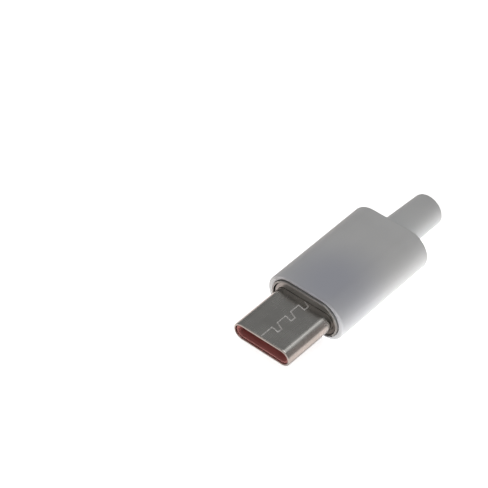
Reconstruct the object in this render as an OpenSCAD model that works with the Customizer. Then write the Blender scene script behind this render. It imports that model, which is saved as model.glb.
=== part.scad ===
// Cable plug with an oval metal mouth in a one-piece moulded hood.
// Lengths run back from the mouth along Y, heights run up and down from the plug's middle plane.
// The whole plug then stands with the hood's flat underside on Z = 0.

/* [Metal plug] */
// Width of the oval tube
plug_w = 8.25; // [8.0:0.05:8.5]
// Height of the oval tube
plug_h = 2.4; // [2.3:0.05:2.5]
// Thickness of its strip
plug_wall = 0.25; // [0.2:0.01:0.27]
// Length that stands out of the hood
plug_reach = 7.7; // [7.3:0.1:9]
// Length hidden in the hood
plug_root = 1.8; // [1.6:0.1:2]
// Rounding of the mouth's outer edge
mouth_edge = 0.1; // [0.05:0.01:0.15]
// Length of the two soldering legs behind the tube
leg_len = 1.5; // [1:0.1:2]
// Height of a soldering leg
leg_h = 1; // [0.8:0.1:1.2]

/* [Seam of the metal plug] */
// Width of the slit between the strip's two ends
seam_gap = 0.05; // [0.04:0.01:0.08]
// How far the slit's straight runs lie left of the middle
seam_left = 0.15; // [0:0.05:0.4]
// How far a tooth reaches across
seam_tooth = 1; // [0.6:0.05:1.2]
// Straight run before the first tooth
seam_start = 2.05; // [1.5:0.05:2.5]
// Distance from tooth to tooth
seam_pitch = 2.3; // [2:0.1:2.6]
// Width of a tooth at its end
tooth_tip = 0.65; // [0.4:0.05:0.7]
// How much a tooth's front flank leans back
flank_front = 0.16; // [0:0.02:0.2]
// How much a tooth's rear flank leans back
flank_rear = 0.4; // [0.2:0.02:0.5]

/* [Moulded insert] */
// Distance of the insert's face behind the mouth
insert_inset = 0.2; // [0.1:0.05:0.3]
// Length of the insert
insert_len = 6.4; // [6.3:0.1:6.6]
// Clearance between insert and tube
insert_gap = 0.05; // [0.02:0.01:0.06]
// Thickness of the insert beside the slot for the socket's tongue
slot_side = 0.375; // [0.35:0.005:0.4]
// Height of that slot
slot_h = 0.8; // [0.76:0.02:0.84]
// Rounding of the slot's corners
slot_round = 0.12; // [0.05:0.01:0.2]
// Thickness of the lip around the flared slot
lip = 0.22; // [0.18:0.01:0.26]
// Depth of the flare
flare_depth = 0.9; // [0.6:0.05:1]
// Plastic left above the contact grooves
groove_skin = 0.2; // [0.18:0.01:0.22]

/* [Contacts] */
// Distance between neighbouring contacts
contact_pitch = 0.5; // [0.48:0.01:0.52]
// Width of a contact
contact_w = 0.25; // [0.2:0.01:0.3]
// Thickness of a contact
contact_t = 0.12; // [0.1:0.01:0.13]
// Side clearance of a contact in its groove
contact_gap = 0.04; // [0.02:0.01:0.06]
// Half of the gap between the two rows of contact points
point_z = 0.3; // [0.26:0.01:0.34]
// Distance of the contact points behind the mouth
point_y = 3.9; // [3.7:0.1:4.1]
// Length of a contact's tail on the board
tail_foot = 1.8; // [1.4:0.1:2.2]

/* [Contact blocks and middle plate] */
// Length of the blocks behind the insert
block_len = 3.15; // [3:0.05:3.4]
// How far each block's nose enters the insert
nose_len = 0.45; // [0.3:0.05:0.6]
// Thickness of the middle plate
plate_t = 0.2; // [0.16:0.02:0.24]
// Width of a latch arm
latch_w = 0.22; // [0.18:0.01:0.25]
// How far a latch hook stands into the slot
latch_bite = 0.3; // [0.2:0.02:0.36]
// Distance of the latch hooks behind the mouth
latch_y = 2.1; // [2:0.1:2.3]
// Clearance of the latch arms in the insert
latch_gap = 0.05; // [0.03:0.01:0.07]

/* [Ground springs] */
// Thickness of a ground spring
ground_t = 0.08; // [0.06:0.01:0.09]
// Width of a ground spring's plate
ground_w = 5.4; // [5:0.1:5.6]
// Length of a ground spring's plate
ground_len = 2.6; // [2.4:0.1:3]
// Number of spring fingers
finger_count = 4; // [3:1:5]
// Width of a finger
finger_w = 0.6; // [0.4:0.05:0.7]
// Reach of a finger in front of the plate
finger_len = 1; // [0.9:0.05:1.1]
// Distance of the plate behind the insert's face
ground_inset = 2.1; // [2:0.05:2.2]

/* [Circuit board] */
// Clearance between the board and the shield's sides
board_side = 0.22; // [0.15:0.01:0.3]
// Length of the board
board_len = 9.4; // [8.5:0.1:9.6]
// Thickness of the board
board_t = 0.8; // [0.76:0.02:0.82]
// Clearance between blocks and board
board_gap = 0.2; // [0.1:0.05:0.3]
// Clearance between board and soldering legs
leg_gap = 0.04; // [0.02:0.01:0.06]
// Thickness of a tinned pad
pad_t = 0.05; // [0.03:0.01:0.06]
// Length of a cable pad
cable_pad_len = 2; // [1.5:0.1:2.5]
// Width of a cable pad
cable_pad_w = 1.2; // [0.8:0.1:1.4]
// Number of cable pads on each face
cable_pads = 4; // [3:1:4]
// Length of a chip
chip_len = 1; // [0.8:0.1:1.6]
// Width of a chip
chip_w = 0.5; // [0.4:0.05:0.8]
// Height of a chip
chip_h = 0.35; // [0.3:0.05:0.5]

/* [Steel shield] */
// Thickness of the steel sheet
sheet = 0.22; // [0.18:0.01:0.24]
// Width of its front wall beside the metal plug
wall_side = 0.35; // [0.34:0.005:0.4]
// Height of its front wall above and below the metal plug
wall_top = 0.95; // [0.9:0.01:1]
// Clearance between the two halves
nest_gap = 0.13; // [0.1:0.01:0.15]
// Clearance between hood and outer half
hood_gap = 0.06; // [0.04:0.01:0.08]
// How far the outer half stands out of the hood's face
cover_out = 0.25; // [0.1:0.01:0.3]
// How far the inner half stands behind the outer one
base_inset = 0.2; // [0.1:0.01:0.3]
// How far the inner half runs on behind the board
base_spare = 0.5; // [0.3:0.05:0.8]
// How far the outer half runs on behind the inner one
cover_over = 0.45; // [0.2:0.05:0.5]
// Height of the inner half's sides above the middle plane
base_side = 0.3; // [0.3:0.05:0.5]
// Depth of the outer half's sides below the middle plane
cover_side = 1.5; // [1.2:0.1:1.7]
// Clearance around the metal plug in the front wall
collar_gap = 0.05; // [0.03:0.01:0.08]
// Length of a snap window
window_len = 1.6; // [1.2:0.1:1.8]
// Height of a snap window
window_h = 0.8; // [0.7:0.05:1]
// Distance of a snap window's middle from the end of the outer half
window_inset = 3; // [2.5:0.1:3.5]
// Clearance of a snap in its window
snap_gap = 0.1; // [0.08:0.01:0.14]
// Length of a holding barb
barb_len = 1.2; // [1:0.1:1.4]
// How far a barb stands out of the outer half
barb_out = 0.18; // [0.12:0.01:0.2]
// Inside radius of the cable clamp
clamp_r = 1.5; // [1.3:0.05:1.55]
// Length of the cable clamp
clamp_len = 1.6; // [1.2:0.1:1.7]
// Width of the neck before the clamp
neck_w = 1.8; // [1.4:0.1:2.2]
// Length of that neck
neck_len = 0.6; // [0.5:0.1:0.7]
// Height of the clamp's wings above its middle
wing_h = 1.2; // [0.8:0.1:1.4]

/* [Hood] */
// Thickness of the hood's two sides
hood_side = 0.665; // [0.62:0.005:0.8]
// Thickness of the hood's top and underside
hood_top = 0.24; // [0.23:0.01:0.35]
// Clearance between the cable clamp and the hood's rear wall
end_gap = 0.25; // [0.15:0.05:0.5]
// Thickness of the hood's rear wall
rear_wall = 1.2; // [0.8:0.1:1.4]
// Rounding of the front rim
rim_round = 0.2; // [0.1:0.01:0.21]
// Rounding of the rear edge
rear_round = 0.35; // [0.2:0.01:0.6]

/* [Cable tail] */
// Length of the tail
tail_len = 7.3; // [5:0.1:12]
// Diameter of the tail at the hood
tail_root_d = 4.65; // [4.3:0.05:4.7]
// Diameter of the tail at its end
tail_end_d = 4.25; // [4:0.05:4.3]
// Diameter of the cable's bore
bore_d = 3.2; // [2.8:0.05:3.4]
// How far the tail's root lies below the middle plane
tail_drop = 0.33; // [0:0.01:0.36]
// How much the tail leans down, in degrees
tail_lean = 2.2; // [0:0.1:2.3]
// Rounding of the tail's end
tail_round = 0.25; // [0.1:0.01:0.35]

/* [Hidden] */
$fn = 48;
UPPER = [for (i = [1 : 12]) i];
LOWER = [for (i = [1 : 12]) if (i != 6 && i != 7) i];

STEEL = [0.72, 0.72, 0.7];
TIN = [0.78, 0.78, 0.8];
GOLD = [0.85, 0.68, 0.3];
RED = [0.85, 0.33, 0.25];
BLACK = [0.12, 0.12, 0.13];
WHITE = [0.9, 0.9, 0.9];
GREEN = [0.1, 0.35, 0.2];
EPS = 0.5; // how far a cutting shape runs past what it cuts

// Bends of a contact
contact_flat = 0.3; // its touching point
contact_nose = 0.65; // the rising nose in front of that
nose_drop = 0.08; // from the level of the row down to the nose's tip
nose_room = 0.15; // groove left free in front of the nose
contact_level = 0.6; // level run in the insert before the block
tail_level = 0.1; // level run behind the block
tail_step = 0.45; // from the block to the start of the foot

// Outline of a latch
latch_clear = 0.02; // between the slot's wall and the latch arm
hook_front = 0.45; // from the hook's middle to its foremost point
hook_tip = 0.3; // the blunt outer corner of that point
hook_flat = [0.1, 0.15]; // the hook's flat, in front of its middle and behind
hook_back = 0.6; // its rear slope
arm_step = 0.1; // from the block's front to the arm's root
arm_root_len = 0.8;
plate_short = 0.3; // the plate ends this far inside the block

// Bends of a ground spring's finger
ground_sink = 0.02; // how far the plate lies below the insert's surface
finger_lead = 0.1; // free length of a finger's window at its tip, and of the bend at its root
finger_tip = [0.25, 0.4]; // from the tip to the two ends of the touching flat
finger_lift = 0.1; // how far the tip stands out of the slot
finger_bite = 0.01; // how far the flat stands into it
finger_lap = 0.2; // how far the finger runs into the plate

// Snaps, barbs and neck of the shield
snap_h = 0.5;
barb_h = 0.6;
barb_room = 0.05; // depth of the hood's pocket beyond the barb
neck_lap = [1, 0.3]; // how far the neck runs into the floor and into the clamp
clamp_sink = 0.05; // how far the clamp's ring is sunk into the neck

// Stations along the plug, measured back from the mouth
shell_end = plug_reach + plug_root;
insert_front = insert_inset;
insert_end = insert_front + insert_len;
block_front = insert_end + latch_gap;
block_end = block_front + block_len;
board_front = block_end + board_gap;
board_end = board_front + board_len;
cover_front = plug_reach - cover_out;
base_front = cover_front + base_inset;
base_end = board_end + base_spare;
base_len = base_end - base_front;
cover_end = base_end + cover_over;
cover_len = cover_end - cover_front;
clamp_front = base_end + neck_len;
cavity_end = clamp_front + clamp_len + end_gap;
hood_end = cavity_end + rear_wall;
hood_len = hood_end - plug_reach;
tail_flat = tail_end_d / 2 - tail_round;
tail_reach = (tail_len - tail_round) * cos(tail_lean) + tail_flat * sin(tail_lean) + tail_round;
total_len = hood_end + tail_reach;

// Sections
inner_w = plug_w - 2 * plug_wall;
inner_h = plug_h - 2 * plug_wall;
insert_w = inner_w - 2 * insert_gap;
insert_h = inner_h - 2 * insert_gap;
base_w = plug_w + 2 * wall_side;
base_h = plug_h + 2 * wall_top;
cover_w = base_w + 2 * (nest_gap + sheet);
cover_h = base_h + 2 * (nest_gap + sheet);
mouth_w = cover_w + 2 * hood_gap;
mouth_h = cover_h + 2 * hood_gap;
hood_w = mouth_w + 2 * hood_side;
hood_h = mouth_h + 2 * hood_top;
slot_w = insert_w - 2 * slot_side;
board_w = base_w - 2 * sheet - 2 * board_side;
groove_top = insert_h / 2 - groove_skin;
row_z = groove_top - contact_gap - contact_t / 2;
pad_top = board_t / 2 + pad_t;
foot_z = pad_top + contact_t / 2;

// The whole plug is drawn from its mouth back and about its middle plane, then set on Z = 0
module seated() {
    translate([0, -total_len / 2, hood_h / 2]) children();
}

// An oval section: a rectangle with a half circle at each end
module oval(w, h) {
    square([w - h, h], center = true);
    for (s = [-1, 1]) translate([s * (w - h) / 2, 0]) circle(d = h);
}

module oval_ring(w, h, wall) {
    difference() {
        oval(w, h);
        oval(w - 2 * wall, h - 2 * wall);
    }
}

module rounded(w, h, r) {
    square([w - 2 * r, h], center = true);
    square([w, h - 2 * r], center = true);
    for (x = [-1, 1], z = [-1, 1]) translate([x * (w / 2 - r), z * (h / 2 - r)]) circle(r);
}

// A section drawn as (x, z), run back from y by len
module along_y(y, len) {
    translate([0, y, 0]) rotate([90, 0, 0]) mirror([0, 0, 1]) linear_extrude(len) children();
}

// A side view drawn as (y, z), run across the plug by width
module along_x(width) {
    rotate([90, 0, 90]) translate([0, 0, -width / 2]) linear_extrude(width) children();
}

// A half side view drawn as (radius, y), swept round an oval with this much straight length
module oval_sweep(straight) {
    for (side = [0, 1]) mirror([side, 0, 0]) translate([straight / 2, 0, 0])
        rotate([-90, 0, 0]) rotate([0, 0, -90]) rotate_extrude(angle = 180) children();
    along_x(straight) for (side = [0, 1]) mirror([0, side]) mirror([1, -1]) children();
}

// Half side view of a bar whose two outer edges are rounded
module bar_profile(r, y, len, front, rear) {
    translate([0, y + front]) square([r, len - front - rear]);
    translate([0, y]) square([r - front, front]);
    translate([0, y + len - rear]) square([r - rear, rear]);
    translate([r - front, y + front]) circle(front);
    translate([r - rear, y + len - rear]) circle(rear);
}

// A bent strip of even thickness along a path of (y, z) points
module strip(path, t) {
    last = len(path) - 1;
    polygon(concat(
        [for (p = path) [p[0], p[1] + t / 2]],
        [for (k = [last : -1 : 0]) [path[k][0], path[k][1] - t / 2]]
    ));
}

// The same shape above the middle plane and below it
module both_faces() {
    for (side = [0, 1]) mirror([0, 0, side]) children();
}

module both_sides() {
    for (side = [0, 1]) mirror([side, 0, 0]) children();
}

// Metal plug: the strip's two ends meet in a toothed seam on the top face
tooth_len = tooth_tip - flank_front + flank_rear;
tooth_count = floor((shell_end - seam_start - tooth_len) / seam_pitch) + 1;

function tooth(y) = [
    [-seam_left, y],
    [seam_tooth - seam_left, y - flank_front],
    [seam_tooth - seam_left, y - flank_front + tooth_tip],
    [-seam_left, y + tooth_len]
];

seam_path = concat(
    [[-seam_left, -EPS]],
    [for (k = [0 : tooth_count - 1], p = tooth(seam_start + k * seam_pitch)) p],
    [[-seam_left, shell_end + EPS]]
);

module seam_slit() {
    for (k = [1 : len(seam_path) - 1]) {
        step = seam_path[k] - seam_path[k - 1];
        translate(seam_path[k - 1]) rotate(atan2(step[1], step[0]))
            translate([-seam_gap / 2, -seam_gap / 2]) square([norm(step) + seam_gap, seam_gap]);
    }
}

module plug_shell() {
    tube_len = shell_end + leg_len;
    color(STEEL) seated() difference() {
        oval_sweep(plug_w - plug_h) bar_profile(plug_h / 2, 0, tube_len, mouth_edge, mouth_edge / 2);
        along_y(-EPS, tube_len + 2 * EPS) oval(inner_w, inner_h);
        both_faces() translate([-plug_w / 2 - EPS, shell_end, leg_h / 2])
            cube([plug_w + 2 * EPS, leg_len + EPS, plug_h]);
        translate([0, 0, inner_h / 2 - plug_wall]) linear_extrude(3 * plug_wall) seam_slit();
    }
}

// Moulded insert
contact_front = point_y - contact_flat / 2 - contact_nose;
groove_front = contact_front - nose_room;
ground_front = insert_front + ground_inset;
ground_recess = ground_t + ground_sink;
ground_z = insert_h / 2 - ground_recess + ground_t / 2;
window_front = ground_front - finger_len - finger_lead;
latch_in = slot_w / 2 + latch_clear;
latch_out = latch_in + latch_w;
latch_slot_front = latch_y - hook_front - nose_room;

function contact_x(i) = (i - 6.5) * contact_pitch;
function finger_x(k) = (k - (finger_count - 1) / 2) * (ground_w - finger_w) / finger_count;

module insert_flare() {
    mouth_r = insert_h / 2 - lip;
    oval_sweep(insert_w - insert_h) polygon([
        [0, insert_front - EPS],
        [mouth_r, insert_front - EPS],
        [mouth_r, insert_front],
        [slot_h / 2, insert_front + flare_depth],
        [0, insert_front + flare_depth]
    ]);
}

module contact_grooves() {
    w = contact_w + 2 * contact_gap;
    for (i = UPPER) translate([contact_x(i) - w / 2, groove_front, 0])
        cube([w, insert_end - groove_front + EPS, groove_top]);
}

module finger_windows() {
    w = finger_w + 2 * contact_gap;
    for (k = [0 : finger_count - 1]) translate([finger_x(k) - w / 2, window_front, 0])
        cube([w, ground_front - window_front + finger_lead, insert_h]);
}

module insulator() {
    color(RED) seated() difference() {
        along_y(insert_front, insert_len) oval(insert_w, insert_h);
        along_y(insert_front - EPS, insert_len + 2 * EPS) rounded(slot_w, slot_h, slot_round);
        insert_flare();
        both_faces() {
            contact_grooves();
            finger_windows();
            translate([-ground_w / 2 - contact_gap, ground_front, insert_h / 2 - ground_recess])
                cube([ground_w + 2 * contact_gap, ground_len + contact_gap, EPS]);
        }
        both_sides() translate([slot_w / 2 - slot_round, latch_slot_front, -plate_t / 2 - latch_gap])
            cube([plug_w, insert_len + EPS, plate_t + 2 * latch_gap]);
    }
}

// Spring contacts: each runs from its touching point through its block and down to the board
contact_path = [
    [contact_front, row_z - nose_drop],
    [point_y - contact_flat / 2, point_z + contact_t / 2],
    [point_y + contact_flat / 2, point_z + contact_t / 2],
    [insert_end - contact_level, row_z],
    [block_end + tail_level, row_z],
    [block_end + tail_step, foot_z],
    [block_end + tail_step + tail_foot, foot_z]
];

module contact(x) {
    translate([x, 0, 0]) along_x(contact_w) strip(contact_path, contact_t);
}

module contact_a(i) {
    color(GOLD) seated() contact(contact_x(i));
}

module contact_b(i) {
    color(GOLD) seated() mirror([0, 0, 1]) contact(-contact_x(i));
}

// Contact blocks: each fills half of the tube and has a nose that closes the slot's end
module block(row) {
    difference() {
        union() {
            along_y(block_front, block_len) intersection() {
                oval(insert_w, insert_h);
                translate([-insert_w / 2, plate_t / 2]) square([insert_w, insert_h]);
            }
            nose_w = slot_w - 2 * latch_w;
            nose_h = slot_h / 2 - contact_gap - plate_t / 2;
            translate([-nose_w / 2, insert_end - nose_len, plate_t / 2])
                cube([nose_w, nose_len + latch_gap + EPS, nose_h]);
        }
        for (i = row) contact(contact_x(i));
    }
}

module upper_block() {
    color(BLACK) seated() block(UPPER);
}

module lower_block() {
    color(BLACK) seated() mirror([0, 0, 1]) block(LOWER);
}

// Middle plate with its two latch arms, drawn down its right side and back up the left
plate_half = slot_w / 2 - latch_w;
hook_x = slot_w / 2 - latch_bite;
arm_root = block_front + arm_step;
plate_side = [
    [plate_half, block_end - plate_short],
    [plate_half, arm_root + arm_root_len],
    [latch_out, arm_root + arm_root_len],
    [latch_out, latch_y - hook_tip],
    [latch_in, latch_y - hook_front],
    [hook_x, latch_y - hook_flat[0]],
    [hook_x, latch_y + hook_flat[1]],
    [latch_in, latch_y + hook_back],
    [latch_in, arm_root],
    [plate_half, arm_root],
    [plate_half, block_front]
];

module latch_plate() {
    last = len(plate_side) - 1;
    color(STEEL) seated() translate([0, 0, -plate_t / 2]) linear_extrude(plate_t)
        polygon(concat(plate_side, [for (k = [last : -1 : 0]) [-plate_side[k][0], plate_side[k][1]]]));
}

// Ground springs: a plate in the insert's outer face with fingers that dip into the slot
finger_path = [
    [ground_front - finger_len, slot_h / 2 + finger_lift],
    [ground_front - finger_len + finger_tip[0], slot_h / 2 - finger_bite],
    [ground_front - finger_len + finger_tip[1], slot_h / 2 - finger_bite],
    [ground_front - finger_lead, ground_z],
    [ground_front + finger_lap, ground_z]
];

module ground_spring() {
    translate([-ground_w / 2, ground_front, ground_z - ground_t / 2]) cube([ground_w, ground_len, ground_t]);
    for (k = [0 : finger_count - 1]) translate([finger_x(k), 0, 0])
        along_x(finger_w) strip(finger_path, ground_t);
}

module upper_ground_spring() {
    color(STEEL) seated() ground_spring();
}

module lower_ground_spring() {
    color(STEEL) seated() mirror([0, 0, 1]) ground_spring();
}

// Circuit board, narrowed at the front between the soldering legs
leg_inside = (inner_w - inner_h) / 2 + sqrt(pow(inner_h / 2, 2) - pow(leg_h / 2, 2));
notch_len = shell_end + leg_len + leg_gap - board_front;
chip_y = board_front + board_len / 2;
chip_x = board_w / 5;

module circuit_board() {
    color(GREEN) seated() translate([0, board_front, -board_t / 2]) difference() {
        translate([-board_w / 2, 0, 0]) cube([board_w, board_len, board_t]);
        both_sides() translate([leg_inside - leg_gap, -EPS, -EPS]) cube([board_w, notch_len + EPS, board_t + 2 * EPS]);
    }
}

module pad(x, y, w, len) {
    translate([x - w / 2, y, board_t / 2]) cube([w, len, pad_t]);
}

foot_lap = 0.2; // length of a pad behind its contact's foot
cable_pad_inset = 0.3; // from the cable pads to the board's rear edge
cable_pad_pitch = board_w / (cable_pads + 0.5);

module face_pads(row) {
    for (i = row) pad(contact_x(i), block_end + tail_step, contact_w, tail_foot + foot_lap);
    for (k = [0 : cable_pads - 1])
        pad((k - (cable_pads - 1) / 2) * cable_pad_pitch, board_end - cable_pad_len - cable_pad_inset,
            cable_pad_w, cable_pad_len);
}

module board_pads() {
    color(TIN) seated() {
        face_pads(UPPER);
        mirror([0, 0, 1]) face_pads(LOWER);
    }
}

// A chip: a body between two slightly larger metal ends
module chip(x) {
    cap = chip_len / 5;
    skin = 0.02;
    translate([x, chip_y, board_t / 2]) {
        translate([-chip_len / 2 + skin, -chip_w / 2 + skin, 0])
            cube([chip_len - 2 * skin, chip_w - 2 * skin, chip_h - skin]);
        for (s = [-1, 1]) translate([s * (chip_len - cap) / 2 - cap / 2, -chip_w / 2, 0])
            cube([cap, chip_w, chip_h]);
    }
}

module pull_up_resistor() {
    color(BLACK) seated() chip(-chip_x);
}

module capacitor() {
    color([0.6, 0.45, 0.3]) seated() chip(chip_x);
}

// Steel shield: the outer half covers top and sides, the inner half is the floor, front wall and cable clamp
window_ys = [cover_front + window_inset, cover_end - window_inset];
barb_y = (cover_front + cover_end) / 2;

// A ramp on the right side wall, rising towards the rear between two distances from the middle
module ramp(inside, foot, top, y, len, h) {
    translate([0, y - len / 2, -h / 2]) linear_extrude(h) polygon([
        [inside, 0],
        [foot, 0],
        [top, len / 3],
        [top, len],
        [inside, len]
    ]);
}

module shield_cover() {
    color(STEEL) seated() {
        difference() {
            along_y(cover_front, cover_len) intersection() {
                oval_ring(cover_w, cover_h, sheet);
                translate([-cover_w / 2, -cover_side]) square([cover_w, cover_h]);
            }
            both_sides() for (y = window_ys) translate([cover_w / 2 - 2 * sheet, y - window_len / 2, -window_h / 2])
                cube([4 * sheet, window_len, window_h]);
        }
        both_sides() ramp(cover_w / 2 - 0.7 * sheet, cover_w / 2 - 0.2 * sheet, cover_w / 2 + barb_out,
            barb_y, barb_len, barb_h);
    }
}

module clamp_section() {
    difference() {
        circle(clamp_r + sheet);
        circle(clamp_r);
        translate([-2 * clamp_r, 0]) square([4 * clamp_r, 2 * clamp_r]);
    }
    for (s = [-1, 1]) translate([s * (clamp_r + sheet / 2) - sheet / 2, 0]) square([sheet, wing_h]);
}

module shield_base() {
    floor_z = -base_h / 2;
    color(STEEL) seated() {
        along_y(base_front, base_len) intersection() {
            oval_ring(base_w, base_h, sheet);
            translate([-base_w / 2, floor_z]) square([base_w, base_h / 2 + base_side]);
        }
        along_y(base_front, sheet) difference() {
            oval(base_w, base_h);
            oval(plug_w + 2 * collar_gap, plug_h + 2 * collar_gap);
        }
        translate([-neck_w / 2, base_end - neck_lap[0], floor_z])
            cube([neck_w, neck_lap[0] + neck_len + neck_lap[1], sheet]);
        translate([0, 0, floor_z + clamp_r + sheet - clamp_sink])
            along_y(clamp_front, clamp_len) clamp_section();
        both_sides() for (y = window_ys)
            ramp(base_w / 2 - 0.7 * sheet, base_w / 2 - 0.2 * sheet, base_w / 2 + nest_gap + sheet / 2,
                y, window_len - 2 * snap_gap, snap_h);
    }
}

// Hood: an oval sleeve with a closed rear end and a round tail that leans down a little
module tail_frame() {
    translate([0, hood_end, -tail_drop]) rotate([-90 - tail_lean, 0, 0]) children();
}

module tail_body() {
    root = tail_root_d / 2;
    end = tail_end_d / 2;
    overlap = rear_wall / 2;
    tail_frame() rotate_extrude() polygon(concat(
        [[0, -overlap], [root, -overlap], [root, 0]],
        [for (a = [0 : 15 : 90]) [tail_flat + tail_round * cos(a), tail_len - tail_round + tail_round * sin(a)]],
        [[0, tail_len]]
    ));
}

module hood() {
    color(WHITE) seated() difference() {
        union() {
            oval_sweep(hood_w - hood_h) bar_profile(hood_h / 2, plug_reach, hood_len, rim_round, rear_round);
            tail_body();
        }
        along_y(plug_reach - EPS, cavity_end - plug_reach + EPS) oval(mouth_w, mouth_h);
        tail_frame() translate([0, 0, -rear_wall - EPS]) cylinder(d = bore_d, h = tail_len + rear_wall + 2 * EPS);
        both_sides() translate([mouth_w / 2 - EPS, barb_y - barb_len / 2 - snap_gap, -barb_h / 2 - snap_gap])
            cube([EPS - hood_gap + barb_out + barb_room, barb_len + 2 * snap_gap, barb_h + 2 * snap_gap]);
    }
}

hood();
shield_cover();
shield_base();
plug_shell();
insulator();
upper_block();
lower_block();
latch_plate();
upper_ground_spring();
lower_ground_spring();
circuit_board();
board_pads();
pull_up_resistor();
capacitor();
for (i = UPPER) contact_a(i);
for (i = LOWER) contact_b(i);
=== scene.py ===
"""Cable plug: looks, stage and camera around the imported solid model."""

import math

import bmesh
import bpy
from bpy.props import (
    FloatProperty,
    FloatVectorProperty,
    IntProperty,
    PointerProperty,
)
from mathutils import Matrix, Vector


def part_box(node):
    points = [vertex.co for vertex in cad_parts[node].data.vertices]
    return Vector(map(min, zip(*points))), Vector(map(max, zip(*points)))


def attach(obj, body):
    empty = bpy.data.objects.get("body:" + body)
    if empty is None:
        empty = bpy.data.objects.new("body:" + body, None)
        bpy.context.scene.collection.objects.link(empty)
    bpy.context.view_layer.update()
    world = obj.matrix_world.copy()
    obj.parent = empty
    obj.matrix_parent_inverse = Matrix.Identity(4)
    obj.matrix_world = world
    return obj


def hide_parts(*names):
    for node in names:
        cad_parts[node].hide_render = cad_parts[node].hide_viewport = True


bl_info = {
    "name": "Cable Plug",
    "version": (1, 0, 0),
    "blender": (4, 5, 0),
    "location": "View3D > Sidebar > Cable Plug",
    "description": "Gives the solid cable plug its finished pieces and its stage",
    "category": "Object",
}

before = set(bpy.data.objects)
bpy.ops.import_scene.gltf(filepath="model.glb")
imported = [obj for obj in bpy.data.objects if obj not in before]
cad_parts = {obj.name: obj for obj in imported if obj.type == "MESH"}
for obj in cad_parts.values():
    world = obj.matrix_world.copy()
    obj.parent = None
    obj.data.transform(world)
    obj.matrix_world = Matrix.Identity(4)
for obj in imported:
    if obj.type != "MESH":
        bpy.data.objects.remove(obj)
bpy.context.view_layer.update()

MM = 0.001
HOOD_LOW, HOOD_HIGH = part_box("hood")
TUBE_LOW, TUBE_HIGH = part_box("plug_shell")
MOUTH_Y = TUBE_LOW.y
MIDDLE_Z = (TUBE_LOW.z + TUBE_HIGH.z) / 2

# Metres within which corners of the model are one, and within which they are level
MERGE_REACH = 1e-7
LEVEL_REACH = 1e-6
# How far a cutting shape reaches past what it cuts
OVERRUN = 1.0 * MM
# Edges that turn by more than this stay sharp in a new piece
SHARP_TURN = math.radians(35.0)
# Edges of a copied solid that turn by more than this can be rounded
CORNER_TURN = math.radians(30)
# Faces of a copied solid that turn by less than this become one face
FLAT_TURN = math.radians(0.5)
# Steps of the flare at the bore's end
FLARE_STEPS = 4
# The share of a face's normal that points forward on a front edge, and up on an upright face
FACING, UPRIGHT = 0.7, 0.1
# Second material of a piece that shows its bare cut edges
CUT_EDGE = 1

# The painted reflection on the hood's top, a darker and cooler patch in its colour: its centre,
# one over its reach along each axis, where it begins to fade and is gone as shares of that reach,
# its shades and its strength
REFLECTION_CENTRE = (1.2 * MM, -4.9 * MM, 5.6 * MM)
REFLECTION_SCALE = (140.0, 125.0, 120.0)
REFLECTION_FADE = (0.1, 1.1)
REFLECTION_SHADES = (0.74, 0.76, 0.86)
REFLECTION_STRENGTH = 0.9

# The floor's painted warm reflection in metal is full up to the first distance from the plug
# and gone at the second
SHEEN_FULL, SHEEN_GONE = 20.0 * MM, 45.0 * MM
# The painted shadow under the plug, seen only in metal: half its width and length,
# and its soft border
SHADOW_HALF_WIDTH, SHADOW_HALF_LENGTH, SHADOW_BORDER = 4.5 * MM, 16.5 * MM, 1.6 * MM

# Where the tent's patches begin and are full, as shares of a direction's X or Y
RIGHT_PATCH_X, RIGHT_PATCH_Y = (0.25, 0.75), (0.2, 0.5)
FRONT_PATCH = (0.56, 0.85)


# Settings


def length(name, description, default_mm, low_mm=0.0, high_mm=100.0):
    return FloatProperty(
        name=name,
        description=description,
        default=default_mm * MM,
        min=low_mm * MM,
        max=high_mm * MM,
        precision=5,
        subtype="DISTANCE",
        unit="LENGTH",
    )


def colour(name, description, default):
    return FloatVectorProperty(
        name=name,
        description=description,
        default=default,
        size=3,
        min=0.0,
        max=1.0,
        subtype="COLOR",
    )


def share(name, description, default):
    return FloatProperty(
        name=name, description=description, default=default, min=0.0, max=1.0, subtype="FACTOR"
    )


def light(name, description, default):
    return FloatProperty(name=name, description=description, default=default, min=0.0, max=100.0)


class HoodSettings(bpy.types.PropertyGroup):
    """Sizes and finish of the moulded hood"""

    reach: length("Plug reach", "How far the metal plug stands out of the hood", 7.7)
    body: length("Body length", "Length of the hood without its tail", 15.8)
    side: length("Side wall", "Thickness of the hood's two sides", 0.665)
    top: length("Top wall", "Thickness of the hood's top and underside", 0.24)
    rear_wall: length("Rear wall", "Thickness of the wall that the tail grows from", 1.2)
    rim_round: length("Rim rounding", "Rounding of the front rim's outer edge", 0.2)
    mouth_round: length("Mouth rounding", "Rounding of the mouth's inner edge", 0.03)
    rear_round: length("Rear rounding", "Rounding of the body's rear edge", 0.35)
    pocket_length: length("Pocket length", "Length of the pockets for the shield's barbs", 1.4)
    pocket_height: length("Pocket height", "Height of those pockets", 0.8)
    pocket_room: length("Pocket room", "Depth of a pocket beyond its barb", 0.05)
    tail: length("Tail length", "Length of the round tail", 7.3)
    tail_root: length("Tail root", "Diameter of the tail at the body", 4.65)
    tail_end: length("Tail end", "Diameter of the tail at its end", 4.25)
    tail_round: length("Tail rounding", "Rounding of the tail's end", 0.25)
    bore: length("Bore", "Diameter of the cable's bore", 3.2)
    bore_round: length("Bore rounding", "Rounding of the bore's outer end", 0.15)
    drop: length("Tail drop", "How far the tail's root lies below the middle plane", 0.33)
    lean: FloatProperty(
        name="Tail lean",
        description="How much the tail leans down",
        default=math.radians(2.2),
        subtype="ANGLE",
        unit="ROTATION",
    )
    steps: IntProperty(
        name="Steps", description="Faces round the hood's section", default=128, min=24, max=256
    )
    tint: colour("Plastic", "Colour of the moulded plastic", (0.6, 0.612, 0.614))
    gloss: share("Roughness", "Roughness of the satin skin", 0.42)


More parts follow.
